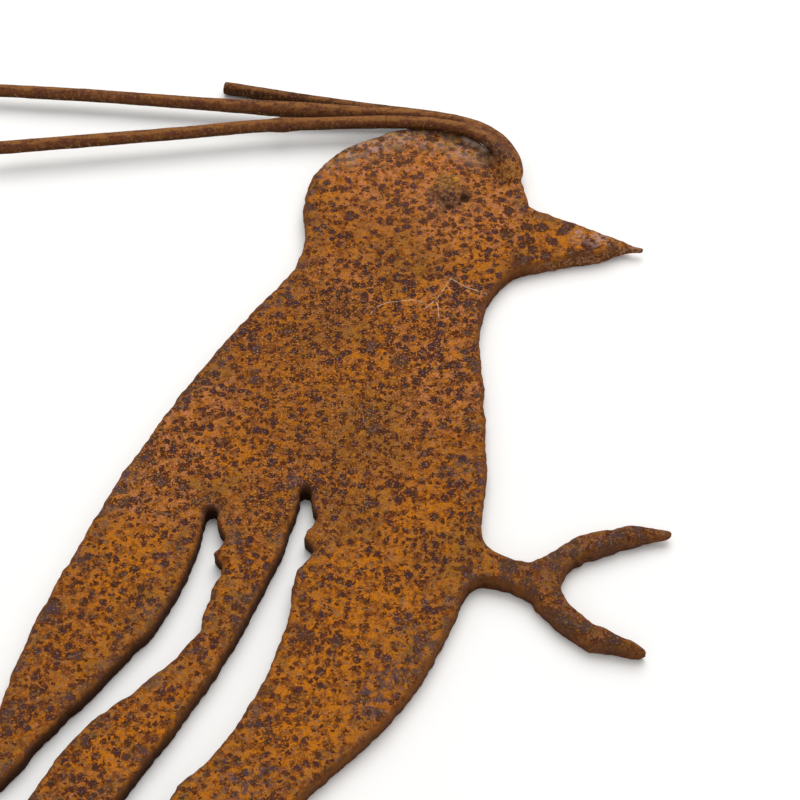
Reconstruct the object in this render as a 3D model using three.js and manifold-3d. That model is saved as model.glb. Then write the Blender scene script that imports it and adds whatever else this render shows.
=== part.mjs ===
// Woodpecker ornament: a silhouette flame-cut from steel sheet, with a crest of three welded rods.
// It lies on its back face. X runs towards the beak, Y towards the crown, Z up out of the sheet.
// All sizes are in millimetres.
import * as THREE from 'three';
import { mergeVertices } from 'three/addons/utils/BufferGeometryUtils.js';
import Module from 'manifold-3d';

const wasm = await Module();
wasm.setup();

// Driving dimensions
const sheet = 4;
const rimWear = 0.7;
const cutStep = 1.8;
const rodDiameter = 3;
const rodSides = 10;
const rodStep = 3.4;
const clearance = 0.3;
const headCentre = new THREE.Vector2(1.4, 55.2);
const headRadius = 23;
const browSwell = 3.1;
const napeAngle = 182;
const browAngle = 34;
const beakTip = new THREE.Vector2(53.5, 43.4);
const beakTaperLength = 9;
const beakTipThickness = 1.6;
const eyeDiameter = 7.4;
const eyeHeight = 1.7;
const eyeCentre = new THREE.Vector2(11.3, 60.4);

// The cut line of the silhouette, clockwise from the notch over the beak.
// Each stretch lists only the turns of its own edge, measured on the sheet from a point on the breast.
const beak = [
  [28.9, 55.2], [33.2, 52.7], [35.4, 51.2], [39.9, 49.6], [44.6, 46.9], [49.2, 44.9],
  [52.9, 43.9], [53.5, 43.4], [52.8, 42.9], [48.5, 43.0], [43.3, 40.9], [33.2, 38.8], [27.0, 37.0],
];
const breast = [
  [24.6, 36.2], [21.9, 33.0], [19.8, 29.9], [18.2, 26.1], [16.7, 17.0], [17.0, 9.0], [17.4, 4.5],
  [17.1, -0.8], [17.6, -5.2], [17.2, -10.0], [17.5, -15.8], [16.8, -22.8], [15.9, -31.2], [16.4, -35.0],
];
const upperToe = [
  [18.6, -37.0], [24.3, -39.1], [29.8, -36.5], [35.1, -33.2], [41.4, -31.4], [45.0, -30.6],
  [51.4, -30.9], [53.4, -31.7], [52.2, -32.6], [46.7, -33.7], [37.8, -36.8], [34.7, -37.9],
];
const lowerToe = [
  [32.3, -40.4], [30.7, -43.5], [31.7, -48.2], [36.0, -52.3], [40.6, -55.4], [45.2, -57.9],
  [46.1, -58.7], [44.8, -58.9], [39.1, -57.7], [35.8, -57.1], [30.9, -54.1], [27.2, -49.8],
  [23.4, -45.7], [19.4, -43.9], [15.4, -43.5],
];
const bellyAndTail = [
  [12.7, -45.6], [10.2, -51.5], [6.2, -60.2], [1.7, -67.8], [-3.5, -74.4], [-9.1, -80.3],
  [-14.8, -85.8], [-24.5, -97.0], [-36.5, -115.0], [-47.0, -133.0], [-53.4, -141.4],
  [-55.4, -141.0], [-56.2, -132.0], [-53.6, -116.0], [-48.0, -101.5],
];
const rightOfTailSlot = [
  [-39.4, -87.4], [-32.9, -79.5], [-27.0, -70.2], [-22.8, -58.8], [-20.9, -50.8], [-20.0, -42.5],
  [-17.1, -38.0], [-17.1, -35.9], [-18.5, -33.5], [-17.4, -31.2], [-16.2, -29.4], [-17.3, -27.3], [-17.5, -24.2],
];
const featherRightSide = [
  [-18.7, -22.8], [-19.8, -24.2], [-20.5, -27.8], [-21.9, -32.5], [-23.3, -37.6], [-26.9, -46.7],
  [-30.4, -55.3], [-34.3, -63.1], [-38.5, -70.4], [-42.6, -77.6], [-48.2, -86.4], [-56.5, -99.5],
  [-67.2, -111.8], [-69.4, -111.6],
];
const featherLeftSide = [
  [-69.8, -104.0], [-66.5, -91.0], [-61.0, -80.2], [-55.3, -73.2], [-49.3, -68.5], [-41.9, -61.0],
  [-39.2, -56.7], [-37.1, -54.2], [-37.3, -51.2], [-36.0, -47.7], [-35.9, -45.2], [-34.2, -41.8],
  [-35.7, -37.2], [-34.2, -34.4], [-35.7, -30.8],
];
const wing = [
  [-36.1, -28.6], [-37.2, -27.4], [-38.1, -28.6], [-39.3, -35.2], [-42.3, -44.9], [-46.1, -53.1],
  [-51.2, -59.7], [-56.0, -66.2], [-64.5, -76.6], [-72.0, -86.6], [-74.2, -86.4], [-73.6, -74.0],
  [-70.0, -57.0], [-65.0, -42.0],
];
const back = [
  [-59.9, -29.2], [-55.0, -18.1], [-49.7, -7.2], [-43.9, 3.8], [-37.4, 14.7], [-30.5, 25.6],
  [-25.2, 32.3], [-22.2, 38.0], [-21.2, 43.0], [-21.1, 48.2],
];
const brow = [[24.3, 66.2], [24.9, 63.2], [26.3, 60.4], [28.0, 57.3]];

// Each rod of the crest as the turns of its centre line, from its free end to the weld on the brow.
const frontRod = [
  [-93, 71.8, 5.2], [-69.9, 74.7, 5.0], [-49.4, 77.2, 4.9], [-32.3, 79.5, 4.8], [-17.3, 80.4, 4.8],
  [0.0, 80.6, 5.0], [9.4, 78.9, 5.7], [16.5, 76.2, 6.1], [21.2, 72.1, 6.2], [23.8, 67.8, 6.1],
];
const middleRod = [
  [-98, 92.8, 3.8], [-71.6, 90.7, 3.8], [-42.1, 87.7, 3.7], [-15.1, 85.3, 3.7], [-0.5, 84.4, 3.7],
  [7.0, 83.3, 3.8], [13.5, 81.8, 3.9], [19.4, 79.0, 4.0], [23.8, 74.4, 4.0], [26.1, 69.0, 3.9], [26.5, 65.4, 3.7],
];
const shortRod = [
  [-41.4, 95.6, 1.7], [-26.0, 92.3, 1.6], [-11.7, 89.3, 1.6], [-0.5, 87.4, 1.6], [12.0, 85.3, 1.6],
];

// The weld that joins the crest to the brow: a smeared bead lying along the edge of the sheet.
const weldCentre = new THREE.Vector3(25.0, 64.0, 4.5);
const weldSpread = new THREE.Vector3(3.2, 6.3, 3.0);
const weldLean = 0.16;

const steel = (name, colour, roughness) => {
  const material = new THREE.MeshStandardMaterial({ color: colour, roughness, metalness: 0.15 });
  material.name = name;
  return material;
};
const freckledRust = steel('freckled_rust', 0x9a5a24, 0.85);
const brownRust = steel('brown_rust', 0x6e4023, 0.82);
const weldRust = steel('weld_rust', 0x7c5a2e, 0.8);

const radians = THREE.MathUtils.degToRad;

function headEdge() {
  const stops = 14;
  const points = [];
  for (let i = 0; i <= stops; i += 1) {
    const angle = THREE.MathUtils.lerp(napeAngle, browAngle, i / stops);
    const swell = browSwell * (1 - THREE.MathUtils.smoothstep(angle, 48, 110));
    const radius = headRadius + swell;
    const x = headCentre.x + radius * Math.cos(radians(angle));
    const y = headCentre.y + radius * Math.sin(radians(angle));
    points.push([x, y]);
  }
  return points;
}

function cutLine() {
  const turns = [
    ...beak, ...breast, ...upperToe, ...lowerToe, ...bellyAndTail, ...rightOfTailSlot,
    ...featherRightSide, ...featherLeftSide, ...wing, ...back, ...headEdge(), ...brow,
  ].map(([x, y]) => new THREE.Vector3(x, y, 0));
  const line = new THREE.CatmullRomCurve3(turns, true, 'centripetal');
  line.arcLengthDivisions = 4000;
  const steps = Math.round(line.getLength() / cutStep);
  return line.getSpacedPoints(steps).slice(0, steps).map((point) => new THREE.Vector2(point.x, point.y));
}

function toManifold(geometry) {
  const bare = geometry.clone();
  bare.deleteAttribute('normal');
  bare.deleteAttribute('uv');
  const merged = mergeVertices(bare, 1e-4);
  const mesh = new wasm.Mesh({
    numProp: 3,
    vertProperties: Float32Array.from(merged.attributes.position.array),
    triVerts: Uint32Array.from(merged.index.array),
  });
  return new wasm.Manifold(mesh);
}

function toGeometry(manifold) {
  const mesh = manifold.getMesh();
  const geometry = new THREE.BufferGeometry();
  geometry.setAttribute('position', new THREE.BufferAttribute(Float32Array.from(mesh.vertProperties), 3));
  geometry.setIndex(new THREE.BufferAttribute(Uint32Array.from(mesh.triVerts), 1));
  geometry.computeVertexNormals();
  return geometry;
}

// How far the metal reaches straight in from each point of the cut, before the far edge.
function widthBehind(line, inward) {
  return line.map((point, i) => {
    let width = Infinity;
    for (const other of line) {
      const across = other.clone().sub(point);
      const distance = across.length();
      if (distance > 0 && across.dot(inward[i]) > 0.8 * distance) {
        width = Math.min(width, distance);
      }
    }
    return width;
  });
}

function inwardNormals(line) {
  const count = line.length;
  return line.map((point, i) => {
    const along = line[(i + 1) % count].clone().sub(line[(i + count - 1) % count]).normalize();
    return new THREE.Vector2(along.y, -along.x);
  });
}

// The sheet, with the corners of its cut rim worn off: less where the metal is narrow.
function sheetGeometry(line) {
  const inward = inwardNormals(line);
  const width = widthBehind(line, inward);
  const worn = line.map((point, i) => {
    const wear = Math.min(rimWear, width[i] / 4);
    return point.clone().addScaledVector(inward[i], wear);
  });
  const geometry = new THREE.ExtrudeGeometry(new THREE.Shape(worn), {
    depth: sheet - 2 * rimWear,
    bevelEnabled: true,
    bevelThickness: rimWear,
    bevelSize: 0,
    bevelSegments: 1,
  }).translate(0, 0, rimWear);

  const key = (x, y) => `${Math.fround(x)} ${Math.fround(y)}`;
  const turnAt = new Map(worn.map((point, i) => [key(point.x, point.y), i]));
  const corners = geometry.attributes.position;
  for (let v = 0; v < corners.count; v += 1) {
    const onWall = Math.abs(corners.getZ(v) - sheet / 2) < sheet / 2 - rimWear / 2;
    if (onWall) {
      const edge = line[turnAt.get(key(corners.getX(v), corners.getY(v)))];
      corners.setXY(v, edge.x, edge.y);
    }
  }
  return geometry;
}

// The beak's last stretch is drawn down thin, by a wedge taken off each face.
function beakWedge(side) {
  const face = side * sheet / 2;
  const start = beakTip.x - beakTaperLength;
  const end = beakTip.x + 1;
  const slope = (sheet - beakTipThickness) / 2 / beakTaperLength;
  const above = face + side;
  const wedge = new THREE.Shape([
    new THREE.Vector2(start, face),
    new THREE.Vector2(end, face - side * slope * (end - start)),
    new THREE.Vector2(end, above),
    new THREE.Vector2(start, above),
  ]);
  const width = 12;
  const geometry = new THREE.ExtrudeGeometry(wedge, { depth: width, bevelEnabled: false });
  geometry.rotateX(Math.PI / 2);
  return geometry.translate(0, beakTip.y + width / 2, sheet / 2);
}

function birdSheet(line) {
  let solid = toManifold(sheetGeometry(line));
  for (const side of [-1, 1]) {
    solid = solid.subtract(toManifold(beakWedge(side)));
  }
  return toGeometry(solid);
}

// The same outline a little larger all round, to keep a neighbour clear of the sheet.
function sheetKeepOut(line) {
  return new THREE.ExtrudeGeometry(new THREE.Shape(line), {
    depth: sheet,
    bevelEnabled: true,
    bevelThickness: clearance,
    bevelSize: clearance,
    bevelSegments: 1,
    curveSegments: 1,
  });
}

function rod(turns, diameter) {
  const path = new THREE.CatmullRomCurve3(turns.map((turn) => new THREE.Vector3(...turn)), false, 'centripetal');
  const section = new THREE.Shape(new THREE.EllipseCurve(0, 0, diameter / 2, diameter / 2).getPoints(rodSides));
  return new THREE.ExtrudeGeometry(section, {
    steps: Math.round(path.getLength() / rodStep),
    extrudePath: path,
  });
}

function weldBead(line) {
  const lump = new THREE.SphereGeometry(1, 20, 12);
  lump.scale(weldSpread.x, weldSpread.y, weldSpread.z);
  lump.rotateZ(weldLean);
  lump.translate(weldCentre.x, weldCentre.y, weldCentre.z);
  let solid = toManifold(lump).subtract(toManifold(sheetKeepOut(line)));
  for (const turns of [frontRod, middleRod]) {
    solid = solid.subtract(toManifold(rod(turns, rodDiameter + 2 * clearance)));
  }
  return toGeometry(solid);
}

// The eye is a single dab of weld, domed and slightly flattened on top.
function eyeBead() {
  const radius = eyeDiameter / 2;
  const rings = 5;
  const profile = [new THREE.Vector2(0, 0)];
  for (let i = 0; i < rings; i += 1) {
    const angle = radians(90 * i / rings);
    profile.push(new THREE.Vector2(radius * Math.cos(angle), eyeHeight * Math.sin(angle) ** 0.8));
  }
  profile.push(new THREE.Vector2(0, eyeHeight));
  const dome = new THREE.LatheGeometry(profile, 20);
  return dome.rotateX(Math.PI / 2).translate(eyeCentre.x, eyeCentre.y, sheet + clearance);
}

function piece(name, geometry, material) {
  const mesh = new THREE.Mesh(geometry, material);
  mesh.name = name;
  return mesh;
}

const line = cutLine();
const bird = new THREE.Group();
bird.add(
  piece('bird_sheet', birdSheet(line), freckledRust),
  piece('eye_bead', eyeBead(), weldRust),
  piece('crest_rod_front', rod(frontRod, rodDiameter), brownRust),
  piece('crest_rod_middle', rod(middleRod, rodDiameter), brownRust),
  piece('crest_rod_short', rod(shortRod, rodDiameter), brownRust),
  piece('crest_weld', weldBead(line), weldRust),
);

// The origin is under the middle of the whole ornament, on the surface that it lies on.
const box = new THREE.Box3().setFromObject(bird, true);
bird.position.set(-(box.min.x + box.max.x) / 2, -(box.min.y + box.max.y) / 2, -box.min.z);

export default bird;
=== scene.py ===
import math

import bmesh
import bpy
import numpy as np
from mathutils import Matrix, Vector, kdtree, noise
from mathutils.geometry import delaunay_2d_cdt


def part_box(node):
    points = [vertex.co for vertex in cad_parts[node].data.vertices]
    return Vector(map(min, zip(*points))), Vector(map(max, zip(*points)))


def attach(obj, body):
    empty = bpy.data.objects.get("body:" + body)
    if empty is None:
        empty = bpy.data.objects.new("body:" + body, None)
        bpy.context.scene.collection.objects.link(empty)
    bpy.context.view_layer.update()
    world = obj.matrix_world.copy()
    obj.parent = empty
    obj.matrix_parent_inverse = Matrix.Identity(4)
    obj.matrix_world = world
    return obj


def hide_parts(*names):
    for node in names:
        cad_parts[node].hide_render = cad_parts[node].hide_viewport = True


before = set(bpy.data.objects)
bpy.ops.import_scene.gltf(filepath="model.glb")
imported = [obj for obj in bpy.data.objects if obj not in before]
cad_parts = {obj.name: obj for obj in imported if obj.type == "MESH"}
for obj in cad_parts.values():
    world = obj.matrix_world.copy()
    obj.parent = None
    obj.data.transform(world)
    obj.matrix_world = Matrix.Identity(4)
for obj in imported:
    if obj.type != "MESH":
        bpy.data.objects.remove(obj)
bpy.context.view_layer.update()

MM = 0.001

# Plate
PLATE_THICKNESS = 4.0
EDGE_STEP = 0.5
EDGE_SMOOTHINGS = 2
FACE_STEP = 1.0
FAR_FROM_EDGE = 9.0

# Wear: the rims are rounded unevenly, and the toes are worn nearly round
FRONT_ROUNDING = 0.95
ROUNDING_VARIES = 0.5
ROUNDING_LUMP = 6
BACK_ROUNDING = 0.5
TOE_ROUNDING = 1.7
FOOT_CENTRE = (42, -44)
FOOT_REACH = 26
FOOT_FADE = 8

# The face hangs on rings that turn over the worn rim, in degrees, then on an even spread of points.
# Each point keeps clear of the edge, by a share of its ring's depth or of a step of the spread.
RIM_TURNS = (24, 42, 58, 74, 90)
RING_CLEARANCE = 0.93
SPREAD_CLEARANCE = 0.45

# The triangulation keeps what is inside the outline
INSIDE_ONLY = 1

# Points closer than this are one: on the drawing, in millimetres, and in the frame, in metres
SAME_POINT = 1e-5
SAME_CORNER = 1e-6

# The wall has rows at these shares of its height, and is dished a little by the torch
WALL_ROWS = (0.25, 0.5, 0.75)
WALL_DISH = 0.05

# A slot shuts its walls in: wholly below the first width, not at all above the second
NARROW_GAP = (8.0, 14.0)
FACING_SHARE = 0.85

# The beak thins towards its tip
BEAK_TIP_X = 53.5
BEAK_TAPER = 9.0
BEAK_TIP_SHARE = 0.2

# Roughness as pairs of lump size and height, and the levels at which the noise is read, so that none match
FACE_WAVES = ((11.0, 0.07), (4.0, 0.035), (1.8, 0.012))
EDGE_RIPPLES = ((5.0, 0.12), (2.4, 0.21), (1.15, 0.22))
WALL_RIPPLES = ((1.3, 0.10), (0.6, 0.05))
FACE_LEVEL = 0.0
EDGE_LEVEL = 40.0
WEAR_LEVEL = 60

# The wall's ripples are read at a share of their height, which draws them out downwards
WALL_STRETCH = 0.6

# Where the torch strayed from the solid's clean outline: x, y, reach and how far out
OUTLINE_SWELLS = {
    "crown and brow": (
        (6, 78, 20, 1.0), (-6, 76, 7, -0.5), (28, 59.5, 5, 1.1), (29, 64, 4, 0.5),
        (27.4, 64.2, 2.6, 0.75),
    ),
    "beak": ((48.5, 46.5, 5, 0.4), (36.5, 52.5, 6, 0.4), (39.5, 36, 6, -0.5), (50.6, 43.8, 2.6, -0.4)),
    "back": (
        (-24, 40, 6, 0.4), (-28, 33, 9, 0.4), (-38, 15, 12, 0.35), (-48, 1, 14, 0.25), (-56, -19, 7, 0.4),
    ),
    "leg": (
        (16.5, -46, 5, -0.5), (22.5, -37.5, 6, 0.5), (31, -34, 8, 0.55), (34, -37, 2.5, 0.4),
        (38, -40.5, 4, -0.4),
    ),
    "toes": (
        (38.5, -32.5, 7, 0.5), (44.7, -30, 3.5, 0.5), (33.5, -49, 6, 0.55), (35.4, -56.6, 3, 0.4),
        (40, -54, 5, 0.5), (43, -56.5, 4, 0.35),
    ),
    "slot beside the wing": (
        (-37, -28, 2, -1.0), (-34.6, -33.3, 1.9, -0.5), (-35.7, -37.2, 1.3, 0.5),
        (-34.9, -39.8, 1.9, -0.5),
    ),
    "slot beside the tail": (
        (-18.8, -23.2, 2, -1.1), (-16.7, -28.1, 1.9, -0.5), (-17.6, -31.8, 1.6, 0.35),
        (-18.6, -33.8, 1.3, 0.6), (-17.4, -36.2, 1.9, -0.5), (-19.4, -41.2, 2.4, 0.4),
    ),
    "feathers": (
        (-47.5, -49, 6, -0.5), (-44.5, -62.5, 6, 0.4), (-47.5, -67.5, 9, 0.5), (-53, -72, 8, 0.4),
        (-48.5, -81, 7, -0.5), (-38.5, -86.5, 6, 0.5),
    ),
    "tail": ((-16.5, -42, 7, 0.5), (-21.5, -59, 5, 0.4), (-26, -72, 9, 0.6)),
}

# Tips of the beak and the toes, drawn out: x, y, reach, and how far they move in x and in y
DRAWN_TIPS = ((53.5, 44.6, 6, 0.6, -0.25), (52.2, -31.8, 6, 0.5, 0.0), (45.2, -59.0, 6, 0.4, -0.1))

# Pits beside the eye and at the ends of the slots: x, y, reach and depth
PITS = (
    (14.6, 57.2, 1.5, 0.6), (11.0, 54.8, 1.3, 0.5),
    (-37.0, -27.6, 1.8, 1.1), (-18.6, -22.7, 1.9, 1.1),
)

# Crest
ROD_DIAMETER = 3.0
ROD_SIDES = 20
ROD_STEP = 0.8
CURVE_PARTS = 30
ROD_DENTS = ((7.0, 0.06), (2.5, 0.06), (1.0, 0.04))

# A rod's cut end: how wide its flat face and its worn arris are, as shares, and how far in the arris is
END_FACE_SHARE = 0.72
ARRIS_SHARE = 0.94
ARRIS_DEPTH = 0.12

# Turns of each rod, from its free end to the brow
FRONT_ROD = (
    (-93, 71.8, 5.2), (-69.9, 74.7, 5.0), (-49.4, 77.2, 4.9), (-32.3, 79.5, 4.8), (-17.3, 80.4, 4.8),
    (0.0, 80.6, 5.0), (9.4, 78.9, 5.7), (16.5, 76.2, 6.1), (21.2, 72.1, 6.2), (23.8, 67.8, 6.1),
)
MIDDLE_ROD = (
    (-98, 92.8, 3.8), (-71.6, 90.7, 3.8), (-42.1, 87.7, 3.7), (-15.1, 85.3, 3.7), (-0.5, 84.4, 3.7),
    (7.0, 83.3, 3.8), (13.5, 81.8, 3.9), (19.4, 79.0, 4.0), (23.8, 74.4, 4.0), (26.1, 69.0, 3.9),
    (26.5, 65.4, 3.7),
)
SHORT_ROD = (
    (-41.6, 95.7, 1.7), (-26.0, 92.3, 1.6), (-11.7, 89.3, 1.6), (-0.5, 87.3, 1.6), (9.0, 85.5, 1.6),
    (14.0, 84.0, 1.6), (18.5, 81.0, 1.6),
)

# Thick scale on the rods: x, y, reach and height
FRONT_ROD_SCALE = ((-27.0, 80.0, 4, 0.35),)
MIDDLE_ROD_SCALE = ((-24.0, 86.2, 24, 0.4),)

# Weld beads: centre and radius
WELD_BEADS = (
    ((23.6, 67.8, 5.2), 2.1), ((24.2, 65.8, 4.4), 2.3), ((25.2, 63.6, 3.3), 2.3), ((25.8, 61.6, 2.2), 2.3),
    ((21.8, 69.0, 3.5), 2.0), ((22.6, 66.6, 2.9), 2.2), ((23.2, 64.4, 2.2), 2.3), ((25.9, 66.0, 3.2), 1.9),
)

# The weld sheathes the last steps of two rods and bridges the valley between them
FRONT_SHEATHED = 22
MIDDLE_SHEATHED = 24
SHEATH_RADIUS = 1.56
BRIDGE_RADIUS = 1.35
BRIDGE_LIFT = Vector((0, 0, 0.2))
WELD_GRAIN = 0.3
WELD_SMOOTHINGS = 8
WELD_WRINKLES = ((2.2, 0.10), (1.0, 0.05))

# How near the back of the sheet a weld may come
WELD_FLOOR = 0.3

# Eye: its lumps' centres from the front of the sheet, and their half sizes
EYE_CENTRE = (11.3, 60.4)
EYE_LUMPS = (
    ((0.0, 0.0, -0.6), (4.4, 4.4, 2.0)),
    ((-0.8, -0.9, -0.2), (2.7, 2.5, 1.3)),
    ((0.8, 1.4, 0.0), (2.5, 1.9, 1.5)),
)
EYE_GRAIN = 0.25
EYE_SMOOTHINGS = 5
EYE_WRINKLES = ((1.9, 0.24), (0.9, 0.16))

# How finely the large and the small lumps of a weld are divided
LARGE_LUMP = 4
SMALL_LUMP = 2

# Camera, set by the photo's foreshortening
VIEW_TILT = math.radians(38)
VIEW_DISTANCE = 389.7
LENS = 85.5
SENSOR = 36.0

# Table and light, in metres
TABLE_HALF = 3.0
WINDOW_PLACE = (0.15, 0.75, 1.1)
WINDOW_SIZE = 1.3
WINDOW_POWER = 13.0
SKY_STRENGTH = 0.66

eye_low, eye_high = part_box("eye_bead")
DRAWING_ZERO = (eye_low + eye_high) / 2 - Vector((EYE_CENTRE[0], EYE_CENTRE[1], 0)) * MM
DRAWING_ZERO.z = 0


def at(x, y, z=0.0):
    """A point of the drawing, in the frame's metres."""
    return DRAWING_ZERO + Vector((x, y, z)) * MM


def paint(red, green, blue):
    """A colour as a painter mixes it, 0 to 255, in the linear light that a shader wants."""
    def linear(part):
        share = part / 255
        if share <= 0.04045:
            return share / 12.92
        return ((share + 0.055) / 1.055) ** 2.4
    return (linear(red), linear(green), linear(blue), 1.0)


# Shader maths written as sums

class Amount:
    """A shader socket that takes part in Python sums."""

    def __init__(self, finish, socket):
        self.finish = finish
        self.socket = socket

    def _sum(self, operation, first, second):
        return self.finish.node("ShaderNodeMath", {"operation": operation}, {0: first, 1: second})

    def __add__(self, other):
        return self._sum("ADD", self, other)

    def __radd__(self, other):
        return self._sum("ADD", other, self)

    def __sub__(self, other):
        return self._sum("SUBTRACT", self, other)

    def __rsub__(self, other):
        return self._sum("SUBTRACT", other, self)

    def __mul__(self, other):
        return self._sum("MULTIPLY", self, other)

    def __rmul__(self, other):
        return self._sum("MULTIPLY", other, self)

    def __pow__(self, other):
        return self._sum("POWER", self, other)


# How far a seed moves the noise along each axis
SEED_STRIDE = (17.3, 9.1, 4.7)
ISLAND_STRIDE = (1.0, 0.7, 1.3)

# How much every finish glints
MATT = 0.08


class Finish:
    """A surface finish being mixed from nodes, with every place in millimetres of the drawing."""

    def __init__(self, name):
        self.material = bpy.data.materials.new(name)
        self.material.use_nodes = True
        self.tree = self.material.node_tree
        self.tree.nodes.clear()
        where = self.node("ShaderNodeTexCoord", out="Object")
        self.place = self.scaled(self.vector("SUBTRACT", where, DRAWING_ZERO), 1 / MM)

    def node(self, kind, settings=None, inputs=None, out=0):
        made = self.tree.nodes.new(kind)
        for name, value in (settings or {}).items():
            setattr(made, name, value)
        for name, value in (inputs or {}).items():
            if isinstance(value, Amount):
                self.tree.links.new(value.socket, made.inputs[name])
            else:
                made.inputs[name].default_value = value
        return Amount(self, made.outputs[out])

    def both(self, kind, settings, inputs, outs):
        """One node whose several outputs are wanted."""
        first = self.node(kind, settings, inputs, outs[0])
        made = first.socket.node
        return [Amount(self, made.outputs[out]) for out in outs]

    def vector(self, operation, *parts, out=0):
        return self.node("ShaderNodeVectorMath", {"operation": operation}, dict(enumerate(parts)), out)

    def scaled(self, arrow, factor):
        return self.node("ShaderNodeVectorMath", {"operation": "SCALE"}, {0: arrow, "Scale": factor})

    def coordinate(self, place, axis):
        return self.node("ShaderNodeSeparateXYZ", {}, {0: place}, axis)

    def mix(self, share, under, over):
        """The colour under, covered by the colour over by a share."""
        settings = {"data_type": "RGBA", "clamp_factor": True}
        return self.node("ShaderNodeMix", settings, {0: share, 6: under, 7: over}, out=2)

    def step(self, value, low, high):
        """0 below low and 1 above high, smooth between, or the other way round."""
        settings = {"interpolation_type": "SMOOTHSTEP", "clamp": True}
        turned = low > high
        ends = {"From Min": min(low, high), "From Max": max(low, high)}
        ends["To Min"] = 1.0 if turned else 0.0
        ends["To Max"] = 0.0 if turned else 1.0
        return self.node("ShaderNodeMapRange", settings, {"Value": value, **ends}, out="Result")

    def greater(self, first, second):
        return self.node("ShaderNodeMath", {"operation": "MAXIMUM"}, {0: first, 1: second})

    def smaller(self, first, second):
        return self.node("ShaderNodeMath", {"operation": "MINIMUM"}, {0: first, 1: second})

    def area(self, name):
        """A share that the piece's mesh carries at its corners."""
        return self.node("ShaderNodeAttribute", {"attribute_name": name}, out="Fac")

    def far_off(self, place, seed):
        """The place moved by a seed, so that no two noises match."""
        return self.vector("ADD", place, tuple(seed * part for part in SEED_STRIDE))

    def cloud(self, size, detail=3.0, roughness=0.55, seed=0.0, place=None):
        """Soft noise between 0 and 1, with lumps of a size in millimetres."""
        inputs = {
            "Vector": self.far_off(place or self.place, seed), "Scale": 1 / size, "Detail": detail,
            "Roughness": roughness}
        return self.node("ShaderNodeTexNoise", {"noise_dimensions": "3D"}, inputs, out=0)

    def shaken(self, size, reach, seed=0.0, detail=2.0):
        """The place, pushed about by up to reach, so that what is drawn there has a ragged edge."""
        inputs = {"Vector": self.far_off(self.place, seed), "Scale": 1 / size, "Detail": detail}
        push = self.node("ShaderNodeTexNoise", {"noise_dimensions": "3D"}, inputs, out=1)
        centred = self.vector("SUBTRACT", push, (0.5, 0.5, 0.5))
        return self.vector("MULTIPLY_ADD", centred, (2 * reach,) * 3, self.place)

    def islands(self, spacing, largest, share, place, seed, swell=None):
        """How deep in a ragged island each point lies, below 0 outside: a share of the cells has one."""
        away = tuple(seed * part for part in ISLAND_STRIDE)
        moved = self.vector("MULTIPLY_ADD", place, (1 / spacing,) * 3, away)
        distance, chance = self.both(
            "ShaderNodeTexVoronoi", {"voronoi_dimensions": "3D", "feature": "F1"},
            {"Vector": moved, "Scale": 1.0}, ["Distance", "Color"])
        luck = self.node("ShaderNodeSeparateColor", {}, {0: chance}, out=0)
        radius = self.step(luck, 1 - share, 1.0) ** 0.5 * largest
        if swell is not None:
            radius = radius * swell
        return radius - distance

    def patch(self, x, y, reach, place):
        """A soft round patch about a point of the drawing: 1 in the middle, 0 past its reach."""
        distance = self.vector("DISTANCE", place, (x, y, PLATE_THICKNESS), out="Value")
        return self.step(distance, reach, reach * AREA_CORE)

    def flat(self, place):
        """The place, brought level with the plate's front: what is drawn there runs down the wall."""
        return self.vector("MULTIPLY_ADD", place, (1, 1, 0), (0, 0, PLATE_THICKNESS))

    def from_line(self, start, end, place):
        """How far the place is from a straight line on the plate's front."""
        start, end = (Vector((x, y, PLATE_THICKNESS)) for x, y in (start, end))
        run = end - start
        come = self.vector("SUBTRACT", place, start)
        ahead = self.vector("DOT_PRODUCT", come, run / run.length_squared, out="Value")
        share = self.node("ShaderNodeMath", {"operation": "ADD", "use_clamp": True}, {0: ahead, 1: 0.0})
        return self.vector("DISTANCE", come, self.scaled(run, share), out="Value")

    def patches(self, spots, place):
        total = self.patch(*spots[0], place)
        for spot in spots[1:]:
            total = self.greater(total, self.patch(*spot, place))
        return total

    def grain(self, height, strength, distance):
        inputs = {"Height": height, "Strength": strength, "Distance": distance * MM}
        return self.node("ShaderNodeBump", {}, inputs, out="Normal")

    def close(self, colour, roughness, normal):
        inputs = {
            "Base Color": colour, "Roughness": roughness, "Normal": normal,
            "Specular IOR Level": MATT, "Metallic": 0.0}
        shader = self.node("ShaderNodeBsdfPrincipled", {}, inputs, out=0)
        output = self.tree.nodes.new("ShaderNodeOutputMaterial")
        self.tree.links.new(shader.socket, output.inputs["Surface"])
        return self.material


# Rust colours
ORANGE = paint(174, 104, 20)
BROWN_ORANGE = paint(140, 82, 26)
TAN = paint(164, 108, 54)
RED_ORANGE = paint(146, 76, 32)
BRIGHT_OCHRE = paint(188, 111, 14)
SALMON = paint(190, 120, 74)
OLIVE = paint(124, 88, 38)
PALE_CRUMB = paint(200, 138, 84)
LILAC = paint(170, 132, 104)
FRECKLE_HALO = paint(95, 46, 16)
FRECKLE = paint(64, 31, 20)
FRECKLE_HEART = paint(56, 36, 42)
SLATE = paint(76, 59, 60)
FOOT_SLATE = paint(68, 50, 46)
RIM_BROWN = paint(104, 60, 28)
WALL_BROWN = paint(116, 70, 32)
SLOT_BROWN = paint(78, 46, 22)
WALL_DARK = paint(68, 38, 18)
# Near black, used for painted shade deep in the slots and at their ends
WALL_BLACK = paint(46, 22, 10)
BEAK_WALL = paint(156, 116, 86)
FOOT_BROWN = paint(106, 74, 50)
# Also the painted shade on the rods' undersides
ROD_DARK = paint(56, 32, 14)
ROD_PURPLE = paint(92, 52, 38)
ROD_BROWN = paint(106, 62, 32)
# Also the painted highlight on the rods' tops
ROD_TAN = paint(150, 100, 52)
WELD_OLIVE = paint(124, 88, 42)
WELD_TAN = paint(166, 118, 66)
PIT_BLACK = paint(38, 20, 12)
EYE_YELLOW = paint(192, 136, 24)
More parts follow.
